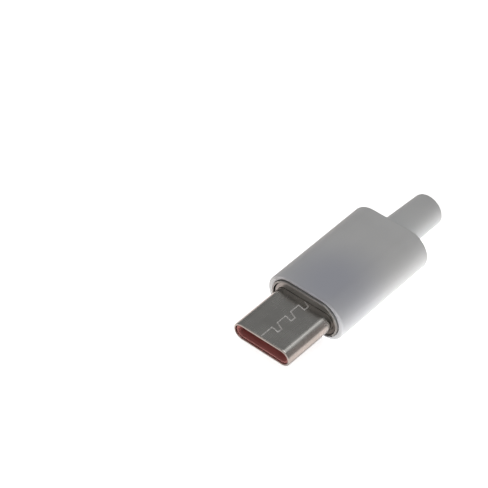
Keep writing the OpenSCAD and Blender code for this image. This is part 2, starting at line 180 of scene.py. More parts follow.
class TubeSettings(bpy.types.PropertyGroup):
    """Sizes, seam and finish of the rolled metal tube"""

    wall: length("Wall", "Thickness of the rolled strip", 0.25)
    tube: length("Tube length", "Length of the tube without its legs", 9.5)
    mouth_round: length("Mouth rounding", "Rounding of the mouth's outer edge", 0.2)
    inner_round: length("Inner rounding", "Rounding of the mouth's inner edge", 0.04)
    leg_height: length("Leg height", "Height of a soldering leg", 1.0)
    gap: length("Seam gap", "Width of the slit between the strip's ends", 0.02)
    seam_round: length("Seam rounding", "Width of the rounded strip edges along the seam", 0.06)
    seam_fall: share("Seam fall", "How deep those edges fall, as a share of their width", 0.35)
    left: length("Seam side", "How far the seam's straight runs lie left of the middle", 0.15)
    start: length("Seam start", "Straight run before the first tooth", 2.05)
    pitch: length("Tooth pitch", "Distance from tooth to tooth", 2.3)
    tooth: length("Tooth reach", "How far a tooth reaches across", 1.0)
    tip: length("Tooth tip", "Width of a tooth at its end", 0.65)
    front_flank: length("Front flank", "How far a tooth's front flank leans forward", 0.16)
    rear_flank: length("Rear flank", "How far a tooth's rear flank leans forward", 0.4)
    teeth: IntProperty(name="Teeth", description="Number of teeth", default=3, min=1, max=8)
    steps: IntProperty(
        name="Steps", description="Faces round the tube's section", default=128, min=24, max=256
    )
    tint: colour("Steel", "Colour of the plated steel", (0.62, 0.61, 0.58))
    # Partly painted highlight: this light colour on the seam's rounded edges also stands in for
    # their highlight
    cut: colour("Cut edge", "Colour of the strip's bare cut edges", (0.82, 0.81, 0.79))
    gloss: share("Roughness", "Roughness of the rolled strip", 0.27)


class InsertSettings(bpy.types.PropertyGroup):
    """Edges and finish of the moulded insert"""

    rim_round: length("Rim rounding", "Rounding of the edges round the insert's face", 0.05)
    tint: colour("Insert", "Colour of the moulded insert", (0.33, 0.13, 0.12))
    gloss: share("Roughness", "Roughness of the insert", 0.45)


class ShieldSettings(bpy.types.PropertyGroup):
    """Edges and finish of the two stamped halves"""

    edge_round: length("Edge rounding", "Rounding of the sheet's cut edges", 0.03)
    tint: colour("Sheet", "Colour of the shield's plated sheet", (0.42, 0.42, 0.405))
    cut: colour("Cut edge", "Colour of the sheet's bare cut edges", (0.42, 0.41, 0.39))
    gloss: share("Roughness", "Roughness of the sheet", 0.3)


class InsideSettings(bpy.types.PropertyGroup):
    """Finishes of what the hood and the tube hold"""

    block: colour("Blocks", "Colour of the contact blocks", (0.03, 0.03, 0.032))
    block_gloss: share("Block roughness", "Roughness of the contact blocks", 0.5)
    spring: colour(
        "Springs", "Colour of the latch plate and ground springs", (0.66, 0.66, 0.64)
    )
    spring_gloss: share("Spring roughness", "Roughness of those springs", 0.28)
    gold: colour("Contacts", "Colour of the plated contacts", (0.83, 0.6, 0.24))
    board: colour("Board", "Colour of the board's mask", (0.012, 0.085, 0.03))
    tin: colour("Tin", "Colour of the tinned pads", (0.7, 0.7, 0.72))
    dark_chip: colour("Dark chip", "Colour of the resistor", (0.02, 0.02, 0.022))
    brown_chip: colour("Brown chip", "Colour of the capacitor", (0.32, 0.2, 0.11))


class StageSettings(bpy.types.PropertyGroup):
    """Camera, lamps, tent and floor"""

    azimuth: FloatProperty(
        name="Azimuth",
        description="Direction that the camera looks in, from the back",
        default=math.radians(41.19),
        subtype="ANGLE",
        unit="ROTATION",
    )
    elevation: FloatProperty(
        name="Elevation",
        description="How steeply the camera looks down",
        default=math.radians(43.54),
        subtype="ANGLE",
        unit="ROTATION",
    )
    distance: length("Distance", "From the camera to the point it looks at", 223.52, 10.0, 2000.0)
    aim: FloatVectorProperty(
        name="Aim",
        description="Point that the camera looks at",
        default=(-6.606 * MM, -10.80 * MM, 10.906 * MM),
        size=3,
        subtype="TRANSLATION",
        unit="LENGTH",
    )
    lens: FloatProperty(
        name="Lens", description="Focal length of the camera", default=147.54, unit="CAMERA"
    )
    floor: length("Floor", "Width of the floor", 800.0, 100.0, 4000.0)
    tent: light("Tent", "Light of the tent all round", 0.2)
    tent_right: colour(
        "Tent, right", "Light of the tent behind and to the right", (0.275, 0.24, 0.23)
    )
    tent_front: colour(
        "Tent, front", "Light of the tent in front of the plug", (0.66, 0.555, 0.515)
    )
    overhead: light("Overhead", "Light of the soft box overhead", 1.6)
    strip: light("Strip", "Light of the long lamp above the back", 0.57)
    table: light("Table", "Light of the wide lamp under the table", 1.1)
    side: light("Side", "Light of the lamp under the table's right side", 1.85)
    front: light("Front", "Light of the lamp under the table's front", 1.4)
    left: light("Left", "Light of the weak lamp at the left", 0.4)
    paper: share("Paper", "How much of the floor's white is its own light", 0.78)
    # Painted reflection: the floor glows in this warm colour only for rays from metal, near the
    # plug
    sheen: colour("Floor in metal", "Light that metal takes from the floor", (0.51, 0.385, 0.35))


# Shader maths


class Signal:
    """An output of a shader node. Signs and numbers round it add Math nodes."""

    def __init__(self, finish, socket):
        self.finish = finish
        self.socket = socket

    def math(self, operation, *values, clamp=False):
        return self.finish.node(
            "ShaderNodeMath",
            {"operation": operation, "use_clamp": clamp},
            dict(enumerate(values)),
        )

    def __add__(self, other):
        return self.math("ADD", self, other)

    def __radd__(self, other):
        return self.math("ADD", other, self)

    def __sub__(self, other):
        return self.math("SUBTRACT", self, other)

    def __rsub__(self, other):
        return self.math("SUBTRACT", other, self)

    def __mul__(self, other):
        return self.math("MULTIPLY", self, other)

    def __rmul__(self, other):
        return self.math("MULTIPLY", other, self)

    def __pow__(self, other):
        return self.math("POWER", self, other)

    def __abs__(self):
        return self.math("ABSOLUTE", self)

    def at_least(self, low):
        """The same value, or low where that is more."""
        return self.math("MAXIMUM", self, low)

    def held(self):
        """The same value held between 0 and 1."""
        return self.math("ADD", self, 0.0, clamp=True)


class Finish:
    """The node tree of one material or of the world."""

    def __init__(self, owner):
        self.owner = owner
        owner.use_nodes = True
        self.tree = owner.node_tree
        self.tree.nodes.clear()

    def node(self, kind, settings=None, inputs=None, output=0):
        """Adds a node, sets it up, then gives its sockets their values or links."""
        made = self.tree.nodes.new(kind)
        for key, value in (settings or {}).items():
            setattr(made, key, value)
        for key, value in (inputs or {}).items():
            if isinstance(value, Signal):
                self.tree.links.new(value.socket, made.inputs[key])
            else:
                made.inputs[key].default_value = value
        return Signal(self, made.outputs[output]) if made.outputs else None

    def place(self):
        """Object coordinates, in metres."""
        return self.node("ShaderNodeTexCoord", output="Object")

    def ray(self, kind):
        """1 for rays of this kind and 0 for all others."""
        return self.node("ShaderNodeLightPath", output=f"Is {kind} Ray")

    def axes(self, vector):
        parts = self.node("ShaderNodeSeparateXYZ", inputs={0: vector}).socket.node.outputs
        return [Signal(self, parts[k]) for k in range(3)]

    def stretched(self, vector, scale, centre=(0.0, 0.0, 0.0)):
        """Coordinates counted from a centre and scaled by a number for each axis."""
        return self.node(
            "ShaderNodeMapping",
            {"vector_type": "POINT"},
            {
                "Vector": vector,
                "Location": tuple(-c * s for c, s in zip(centre, scale)),
                "Scale": scale,
            },
        )

    def noise(self, vector, scale=1.0, detail=3.0, roughness=0.5):
        return self.node(
            "ShaderNodeTexNoise",
            {"noise_dimensions": "3D"},
            {"Vector": vector, "Scale": scale, "Detail": detail, "Roughness": roughness},
            "Fac",
        )

    def ramp(self, value, low, high):
        """0 at low and below, 1 at high and above, smooth between."""
        return self.node(
            "ShaderNodeMapRange",
            {"interpolation_type": "SMOOTHSTEP"},
            {"Value": value, "From Min": low, "From Max": high, "To Min": 0.0, "To Max": 1.0},
        )

    def mix(self, factor, a, b):
        """Blends two colours."""
        return self.node(
            "ShaderNodeMix",
            {"data_type": "RGBA", "blend_type": "MIX"},
            {"Factor": factor, 6: a, 7: b},
            2,
        )

    def bump(self, height, strength, depth):
        return self.node(
            "ShaderNodeBump",
            inputs={"Strength": strength, "Distance": depth, "Height": height},
        )

    def surface(self, **inputs):
        """The material's shader and output."""
        shader = self.node(
            "ShaderNodeBsdfPrincipled",
            inputs={socket_name(word): value for word, value in inputs.items()},
        )
        self.node("ShaderNodeOutputMaterial", inputs={"Surface": shader})
        return self.owner


def socket_name(word):
    """The socket that an argument stands for: base_color is Base Color."""
    return word.replace("_", " ").title().replace("Ior", "IOR")


def rgba(values, factor=1.0):
    """A colour for a socket, made lighter or darker by a factor."""
    return (*(min(1.0, v * factor) for v in values), 1.0)


def grey(level):
    return (level, level, level, 1.0)


def new_finish(name):
    old = bpy.data.materials.get(name)
    if old:
        bpy.data.materials.remove(old)
    return Finish(bpy.data.materials.new(name))


def satin_plastic(name, tint, gloss):
    """White moulded plastic: a fine even grain, faint clouds, hair-thin handling marks
    and a soft painted reflection on the top, a darker, cooler patch in its colour."""
    f = new_finish(name)
    place = f.place()
    clouds = f.noise(place, scale=160.0, detail=2.0)
    grain = f.noise(place, scale=9000.0, detail=2.0, roughness=0.6)
    marks = f.noise(f.stretched(place, (5200.0, 240.0, 5200.0)), detail=2.0, roughness=0.6)
    rubbed = f.ramp(marks, 0.62, 0.78)
    # Painted reflection: a darker, cooler patch painted into the colour of the top
    x, y, z = f.axes(f.stretched(place, REFLECTION_SCALE, REFLECTION_CENTRE))
    reflection_mask = 1.0 - f.ramp((x * x + y * y + z * z) ** 0.5, *REFLECTION_FADE)
    base = f.mix(f.ramp(clouds, 0.3, 0.7), rgba(tint, 0.96), rgba(tint, 1.02))
    reflection_tint = [value * shade for value, shade in zip(tint, REFLECTION_SHADES)]
    with_reflection = f.mix(reflection_mask * REFLECTION_STRENGTH, base, rgba(reflection_tint))
    return f.surface(
        base_color=f.mix(rubbed * 0.08, with_reflection, rgba(tint, 0.82)),
        roughness=gloss + (grain - 0.5) * 0.16 - rubbed * 0.05,
        normal=f.bump(grain * 0.7 + rubbed * 0.15, strength=0.35, depth=0.012 * MM),
        specular_ior_level=0.45,
    )


def rolled_steel(name, tint, gloss):
    """Plated steel strip: drawn lines along its length, cloudy plating and rubbed scratches."""
    f = new_finish(name)
    place = f.place()
    along = (4200.0, 90.0, 4200.0)
    finer = tuple(1.7 * scale for scale in along)
    lines = f.noise(f.stretched(place, along), detail=4.0, roughness=0.65)
    clouds = f.noise(place, scale=420.0)
    scratches = f.ramp(f.noise(f.stretched(place, finer), detail=1.0), 0.66, 0.74)
    plated = f.mix(f.ramp(clouds, 0.3, 0.72), rgba(tint, 0.93), rgba(tint, 1.04))
    return f.surface(
        base_color=f.mix(scratches * 0.35, plated, rgba(tint, 1.18)),
        metallic=1.0,
        roughness=gloss + (lines - 0.5) * 0.06 + (clouds - 0.5) * 0.06 - scratches * 0.04,
        normal=f.bump(lines + scratches * 0.4, strength=0.04, depth=0.006 * MM),
    )


def bare_edge(name, tint):
    """The strip's cut edge, with no plating: torn metal, matt and finely grained across.
    On the tube's seam its light colour is partly bare metal and partly a painted highlight.
    """
    f = new_finish(name)
    place = f.place()
    grain = f.noise(f.stretched(place, (12000.0, 12000.0, 3000.0)), detail=2.0)
    return f.surface(
        base_color=f.mix(f.ramp(grain, 0.3, 0.7), rgba(tint, 0.88), rgba(tint, 1.04)),
        metallic=0.35,
        roughness=0.5 + (grain - 0.5) * 0.2,
        normal=f.bump(grain, strength=0.2, depth=0.006 * MM),
    )


def moulded_insert(name, tint, gloss):
    """Filled moulding plastic: a dull skin with flow clouds and short fibres near its surface."""
    f = new_finish(name)
    place = f.place()
    flow = f.noise(f.stretched(place, (500.0, 260.0, 500.0)))
    strands = f.noise(f.stretched(place, (9000.0, 2600.0, 9000.0)), detail=2.0)
    fibres = f.ramp(strands, 0.58, 0.72)
    grain = f.noise(place, scale=12000.0, detail=2.0)
    base = f.mix(f.ramp(flow, 0.3, 0.7), rgba(tint, 0.9), rgba(tint, 1.06))
    return f.surface(
        base_color=f.mix(fibres * 0.18, base, rgba(tint, 1.3)),
        roughness=gloss + (grain - 0.5) * 0.2,
        normal=f.bump(grain + fibres * 0.3, strength=0.3, depth=0.008 * MM),
        specular_ior_level=0.4,
    )


def plated_contact(name, tint):
    """Stamped contact: gold over nickel, drawn along its length, with wipe marks."""
    f = new_finish(name)
    place = f.place()
    lines = f.noise(f.stretched(place, (9000.0, 240.0, 9000.0)))
    clouds = f.noise(place, scale=900.0, detail=2.0)
    return f.surface(
        base_color=f.mix(f.ramp(clouds, 0.3, 0.7), rgba(tint, 0.9), rgba(tint, 1.05)),
        metallic=1.0,
        roughness=0.24 + (lines - 0.5) * 0.2,
        normal=f.bump(lines, strength=0.15, depth=0.004 * MM),
    )


def board_mask(name, tint):
    """Solder mask over copper tracks that run along the board."""
    f = new_finish(name)
    place = f.place()
    track = f.node(
        "ShaderNodeTexWave",
        {"wave_type": "BANDS", "bands_direction": "X", "wave_profile": "SIN"},
        {"Vector": place, "Scale": 300.0, "Distortion": 1.2, "Detail": 0.0, "Detail Scale": 0.4},
        "Fac",
    )
    copper = f.ramp(track, 0.62, 0.7)
    weave = f.noise(f.stretched(place, (5200.0, 5200.0, 5200.0)), detail=1.0)
    return f.surface(
        base_color=f.mix(copper, rgba(tint, 0.8), rgba(tint, 1.9)),
        roughness=0.3 + (weave - 0.5) * 0.12,
        normal=f.bump(copper + weave * 0.1, strength=0.4, depth=0.01 * MM),
        coat_weight=0.4,
    )


def dull_tin(name, tint):
    """Dipped tin: soft lumps and a cloudy skin."""
    f = new_finish(name)
    place = f.place()
    lumps = f.noise(place, scale=2600.0, detail=2.0)
    clouds = f.noise(place, scale=7000.0, detail=2.0)
    return f.surface(
        base_color=f.mix(f.ramp(clouds, 0.3, 0.7), rgba(tint, 0.9), rgba(tint, 1.05)),
        metallic=1.0,
        roughness=0.34 + (clouds - 0.5) * 0.2,
        normal=f.bump(lumps, strength=0.5, depth=0.02 * MM),
    )


def fired_chip(name, tint):
    """Fired ceramic: dull and finely speckled."""
    f = new_finish(name)
    speckle = f.noise(f.place(), scale=15000.0, detail=2.0)
    return f.surface(
        base_color=f.mix(f.ramp(speckle, 0.35, 0.7), rgba(tint, 0.8), rgba(tint, 1.25)),
        roughness=0.5 + (speckle - 0.5) * 0.2,
        normal=f.bump(speckle, strength=0.3, depth=0.006 * MM),
    )


# Shapes


def behind_mouth(distance):
    """The Y of a place from its distance behind the metal tube's mouth."""
    return MOUTH_Y + distance


def rounded(bm, edges, radius, segments, clamp_overlap=False):
    """Rounds edges and gives back what the rounding made."""
    return bmesh.ops.bevel(
        bm,
        geom=edges,
        offset=radius,
        segments=segments,
        profile=0.5,
        affect="EDGES",
        material=-1,
        clamp_overlap=clamp_overlap,
    )


class Skin:
    """A closed skin that grows along Y, one oval edge loop after another, at one height."""

    def __init__(self, steps, y, width, height, z):
        self.bm = bmesh.new()
        turn = Matrix.Rotation(math.pi / 2, 4, "X") @ Matrix.Rotation(math.pi / steps, 4, "Z")
        bmesh.ops.create_circle(
            self.bm, cap_ends=False, segments=steps, radius=height / 2, matrix=turn
        )
        self.y, self.width, self.height, self.z = 0.0, height, height, 0.0
        self.loops = [list(self.bm.edges)]
        self.shape(list(self.bm.verts), y, width, height, z)

    def shape(self, verts, y, width, height, z):
        """Brings a loop from its present oval to the next one."""
        for side in (-1, 1):
            half = [v for v in verts if v.co.x * side > 0]
            back = Vector((-side * (self.width - self.height) / 2, 0.0, -self.z))
            out = Vector((side * (width - height) / 2, y - self.y, z))
            k = height / self.height
            bmesh.ops.translate(self.bm, verts=half, vec=back)
            bmesh.ops.scale(self.bm, verts=half, vec=(k, 1.0, k))
            bmesh.ops.translate(self.bm, verts=half, vec=out)
        self.y, self.width, self.height, self.z = y, width, height, z

    def grow(self, y, width, height):
        """Adds the next loop."""
        made = bmesh.ops.extrude_edge_only(self.bm, edges=self.loops[-1])["geom"]
        verts = [g for g in made if isinstance(g, bmesh.types.BMVert)]
        known = set(verts)
        edges = [g for g in made if isinstance(g, bmesh.types.BMEdge)]
        self.loops.append([edge for edge in edges if known.issuperset(edge.verts)])
        self.shape(verts, y, width, height, self.z)

    def close(self):
        """Joins the last loop to the first one."""
        bmesh.ops.bridge_loops(self.bm, edges=self.loops[-1] + self.loops[0])

    def cap(self):
        """Closes both ends with a flat face."""
        bmesh.ops.holes_fill(self.bm, edges=self.loops[0] + self.loops[-1], sides=0)

    def round_loop(self, index, radius, segments):
        rounded(self.bm, self.loops[index], radius, segments)

    def lean(self, centre, angle):
        """Turns the whole skin down round a centre."""
        turn = Matrix.Rotation(-angle, 3, "X")
        bmesh.ops.rotate(self.bm, verts=self.bm.verts, cent=centre, matrix=turn)


def to_object(bm, name):
    """Makes an object of a bmesh, with its faces smooth and its sharp edges marked."""
    bmesh.ops.recalc_face_normals(bm, faces=bm.faces)
    for face in bm.faces:
        face.smooth = True
    for edge in bm.edges:
        if len(edge.link_faces) == 2 and edge.calc_face_angle(0.0) > SHARP_TURN:
            edge.smooth = False
    mesh = bpy.data.meshes.new(name)
    bm.to_mesh(mesh)
    bm.free()
    old = bpy.data.objects.get(name)
    if old:
        bpy.data.objects.remove(old)
    made = bpy.data.objects.new(name, mesh)
    bpy.context.scene.collection.objects.link(made)
    return made


def cutting_block(low, high):
    """A plain block between two corners, to cut with."""
    bm = bmesh.new()
    bmesh.ops.create_cube(bm, size=1.0)
    bmesh.ops.scale(bm, verts=bm.verts, vec=tuple(b - a for a, b in zip(low, high)))
    bmesh.ops.translate(bm, verts=bm.verts, vec=tuple((a + b) / 2 for a, b in zip(low, high)))
    return bm


def combined(bm, name, others):
    """Adds or cuts each other solid in turn and gives back the result as a bmesh."""
    body = to_object(bm, name)
    for k, (operation, other_bm) in enumerate(others):
        step = body.modifiers.new(f"step{k}", "BOOLEAN")
        step.operation = operation
        step.solver = "EXACT"
        step.object = to_object(other_bm, f"{name}_step{k}")
    shown = body.evaluated_get(bpy.context.evaluated_depsgraph_get())
    result = bmesh.new()
    result.from_mesh(shown.to_mesh())
    shown.to_mesh_clear()
    for step in list(body.modifiers):
        bpy.data.objects.remove(step.object)
    bpy.data.objects.remove(body)
    return result


def softened(node, radius, segments, chosen):
    """A copy of a solid of the model, with its doubles merged and its chosen corners rounded."""
    bm = bmesh.new()
    bm.from_mesh(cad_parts[node].data)
    bmesh.ops.remove_doubles(bm, verts=bm.verts, dist=MERGE_REACH)
    bmesh.ops.dissolve_limit(bm, angle_limit=FLAT_TURN, verts=bm.verts, edges=bm.edges)
    corners = [
        edge
        for edge in bm.edges
        if len(edge.link_faces) == 2 and edge.calc_face_angle(0.0) > CORNER_TURN and chosen(edge)
    ]
    rounded(bm, corners, radius, segments, clamp_overlap=True)
    return bm


def even_normals(piece):
    """Shades flat faces flat up to their rounded edges."""
    weighted = piece.modifiers.new("even_normals", "WEIGHTED_NORMAL")
    weighted.keep_sharp = True
    weighted.weight = 80


def dress(piece, material, slot_name, *nodes):
    """Gives a new piece its finish, seats it on the body and hides what it stands for."""
    piece.data.materials.append(material)
    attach(piece, "root")
    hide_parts(*nodes)


def paint(nodes, material):
    """Gives shown solids of the model a finish."""
    for name in nodes:
        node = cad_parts[name]
        if not node.material_slots:
            node.data.materials.append(material)
        for holder in node.material_slots:
            holder.material = material


# Pieces


class CABLEPLUG_OT_hood(bpy.types.Operator):
    """Moulds the hood: an oval sleeve with rounded rims and a leaning tail with its bore"""

    bl_idname = "cableplug.hood"
    bl_label = "Hood"

    def execute(self, context):
        s = context.scene.plug_hood
        width, height = HOOD_HIGH.x - HOOD_LOW.x, HOOD_HIGH.z - HOOD_LOW.z
        mouth = (width - 2 * s.side, height - 2 * s.top)
        front = behind_mouth(s.reach)
        rear = behind_mouth(s.reach + s.body)
        body = Skin(s.steps, rear - s.rear_wall, *mouth, MIDDLE_Z)
        body.grow(front, *mouth)
        body.grow(front, width, height)
        body.grow(rear, width, height)
        body.cap()
        body.round_loop(1, s.mouth_round, segments=3)
        body.round_loop(2, s.rim_round, segments=6)
        body.round_loop(3, s.rear_round, segments=8)
        low = MIDDLE_Z - s.drop
        others = [("UNION", self.tail(s, rear, low)), ("DIFFERENCE", self.bore(s, rear, low))]
        others += [("DIFFERENCE", self.pocket(s, side)) for side in (-1, 1)]
        hood = to_object(combined(body.bm, "hood_moulding", others), "hood_moulding")
        even_normals(hood)
        dress(hood, satin_plastic("hood_plastic", s.tint, s.gloss), "hood_plastic", "hood")
        return {"FINISHED"}

    def tail(self, s, rear, low):
        """The round tail, rooted inside the rear wall."""
        tail = Skin(s.steps, rear - s.rear_wall / 2, s.tail_root, s.tail_root, low)
        tail.grow(rear, s.tail_root, s.tail_root)
        tail.grow(rear + s.tail, s.tail_end, s.tail_end)
        tail.cap()
        tail.round_loop(2, s.tail_round, segments=6)
        tail.lean(Vector((0.0, rear, low)), s.lean)
        return tail.bm

    def bore(self, s, rear, low):
        """What the bore takes out: a long round bar with a flared end."""
        end = rear + s.tail
        bar = Skin(s.steps, rear - s.rear_wall - OVERRUN, s.bore, s.bore, low)
        for k in range(FLARE_STEPS + 1):
            turn = k / FLARE_STEPS * math.pi / 2
            wide = s.bore + 2 * s.bore_round * (1 - math.cos(turn))
            bar.grow(end - s.bore_round * (1 - math.sin(turn)), wide, wide)
        bar.grow(end + OVERRUN, wide, wide)
        bar.cap()
        bar.lean(Vector((0.0, rear, low)), s.lean)
        return bar.bm

    def pocket(self, s, side):
        """The pocket in the cavity's side that a barb of the shield holds in."""
        low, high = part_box("shield_cover")
        y = (low.y + high.y) / 2
        near_x, far_x = sorted((0.0, side * (high.x + s.pocket_room)))
        return cutting_block(
            (near_x, y - s.pocket_length / 2, MIDDLE_Z - s.pocket_height / 2),
            (far_x, y + s.pocket_length / 2, MIDDLE_Z + s.pocket_height / 2),
        )


class CABLEPLUG_OT_tube(bpy.types.Operator):
    """Rolls the oval metal tube, with its toothed seam, rounded mouth and two soldering legs"""

    bl_idname = "cableplug.tube"
    bl_label = "Metal tube"

    def execute(self, context):
        s = context.scene.plug_tube
        width, height = TUBE_HIGH.x - TUBE_LOW.x, TUBE_HIGH.z - TUBE_LOW.z
        front, end = TUBE_LOW.y, TUBE_HIGH.y
        inner = (width - 2 * s.wall, height - 2 * s.wall)
        skin = Skin(s.steps, front, *inner, MIDDLE_Z)
        skin.grow(front, width, height)
        skin.grow(end, width, height)
        skin.grow(end, *inner)
        skin.close()
        skin.round_loop(0, s.inner_round, segments=3)
        skin.round_loop(1, s.mouth_round, segments=5)
        cuts = (self.slit(s), self.leg_cut(s, -1), self.leg_cut(s, 1))
        solid = combined(skin.bm, "plug_tube", [("DIFFERENCE", cut) for cut in cuts])
        self.round_seam(solid, s)
        tube = to_object(solid, "plug_tube")
        even_normals(tube)
        dress(tube, rolled_steel("plug_steel", s.tint, s.gloss), "plug_steel", "plug_shell")
        tube.data.materials.append(bare_edge("cut_edge_and_highlight_steel", s.cut))
        return {"FINISHED"}

    def slit(self, s):
        """A thin toothed sheet that follows the seam."""
        near, far = -s.left, s.tooth - s.left
        spots = [(near, -OVERRUN)]
        for k in range(s.teeth):
            root = s.start + k * s.pitch
            front = root - s.front_flank
            back = front + s.tip
            spots += [(near, root), (far, front), (far, back), (near, back + s.rear_flank)]
        spots.append((near, TUBE_HIGH.y - TUBE_LOW.y + OVERRUN))
        bm = bmesh.new()
        above, below = TUBE_HIGH.z + s.wall, 3 * s.wall
        verts = [bm.verts.new((x, behind_mouth(y), above)) for x, y in spots]
        for a, b in zip(verts, verts[1:]):
            bm.edges.new((a, b))
        made = bmesh.ops.extrude_edge_only(bm, edges=list(bm.edges))["geom"]
        low = [g for g in made if isinstance(g, bmesh.types.BMVert)]
        bmesh.ops.translate(bm, verts=low, vec=(0.0, 0.0, -below))
        bmesh.ops.recalc_face_normals(bm, faces=bm.faces)
        bmesh.ops.solidify(bm, geom=list(bm.faces), thickness=s.gap)
        return bm

    def leg_cut(self, s, side):
        """A block that clears the tube above or below its legs."""
        inner = MIDDLE_Z + side * s.leg_height / 2
        outer = MIDDLE_Z + side * (TUBE_HIGH.z - TUBE_LOW.z)
        low_z, high_z = sorted((inner, outer))
        return cutting_block(
            (TUBE_LOW.x - OVERRUN, behind_mouth(s.tube), low_z),
            (TUBE_HIGH.x + OVERRUN, TUBE_HIGH.y + OVERRUN, high_z),
        )

    def on_seam(self, edge, s, top):
        """Tells whether an edge is the slit's upper rim, behind the rounded mouth."""
        ends = [v.co for v in edge.verts]
        return (
            all(abs(end.z - top) < LEVEL_REACH for end in ends)
            and min(end.y for end in ends) > behind_mouth(s.mouth_round) - LEVEL_REACH
            and max(end.y for end in ends) < behind_mouth(s.tube)
            and max(abs(end.x) for end in ends) < 2 * s.tooth
            and any(abs(face.normal.z) < UPRIGHT for face in edge.link_faces)
        )

    def round_seam(self, bm, s):
        """Rounds the strip's two edges where they meet along the seam."""
        top = max(v.co.z for v in bm.verts)
        edges = [edge for edge in bm.edges if self.on_seam(edge, s, top)]
        rolled = rounded(bm, edges, s.seam_round, segments=3)
        # The rounded seam edges take the light bare-edge finish: bare metal in part, and in part a
        # painted highlight
        for face in rolled["faces"]:
            face.material_index = CUT_EDGE
        for vert in rolled["verts"]:
            vert.co.z = top - (top - vert.co.z) * s.seam_fall


class CABLEPLUG_OT_insert(bpy.types.Operator):
    """Finishes the moulded insert inside the tube"""

    bl_idname = "cableplug.insert"
    bl_label = "Insert"

    def execute(self, context):
        s = context.scene.plug_insert
        face_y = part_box("insulator")[0].y

        def round_face(edge):
            return all(v.co.y < face_y + LEVEL_REACH for v in edge.verts)

        solid = softened("insulator", s.rim_round, segments=3, chosen=round_face)
        insert = to_object(solid, "insert_moulding")
        even_normals(insert)
        plastic = moulded_insert("insert_plastic", s.tint, s.gloss)
        dress(insert, plastic, "insert_plastic", "insulator")
        return {"FINISHED"}


class CABLEPLUG_OT_shield(bpy.types.Operator):
    """Finishes the two stamped halves of the shield"""

    bl_idname = "cableplug.shield"
    bl_label = "Shield halves"

    def execute(self, context):
        s = context.scene.plug_shield
        steel = rolled_steel("shield_steel", s.tint, s.gloss)
        cut = bare_edge("cut_sheet_steel", s.cut)
        halves = (("shield_cover", "outer_shield", cut), ("shield_base", "inner_shield", steel))
        for node, name, front_edge in halves:
            solid = softened(node, s.edge_round, segments=2, chosen=lambda edge: True)
            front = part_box(node)[0].y + 2 * s.edge_round
            for face in solid.faces:
                if face.normal.y < -FACING and face.calc_center_median().y < front:
                    face.material_index = CUT_EDGE
            half = to_object(solid, name)
            even_normals(half)
            dress(half, steel, "shield_steel", node)
            half.data.materials.append(front_edge)
        return {"FINISHED"}


class CABLEPLUG_OT_inside(bpy.types.Operator):
    """Finishes the contacts, their blocks, the springs and the board"""

    bl_idname = "cableplug.inside"
    bl_label = "Contacts and board"

    def execute(self, context):
        s = context.scene.plug_inside
        contacts = [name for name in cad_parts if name.startswith("contact_")]
        blocks = ["upper_block", "lower_block"]
        springs = ["latch_plate", "upper_ground_spring", "lower_ground_spring"]
        paint(contacts, plated_contact("contact_gold", s.gold))
        paint(blocks, moulded_insert("block_plastic", s.block, s.block_gloss))
        paint(springs, rolled_steel("spring_steel", s.spring, s.spring_gloss))
        paint(["circuit_board"], board_mask("board_laminate", s.board))
        paint(["board_pads"], dull_tin("tin", s.tin))
        paint(["pull_up_resistor"], fired_chip("chip_black", s.dark_chip))
        paint(["capacitor"], fired_chip("chip_brown", s.brown_chip))
        return {"FINISHED"}


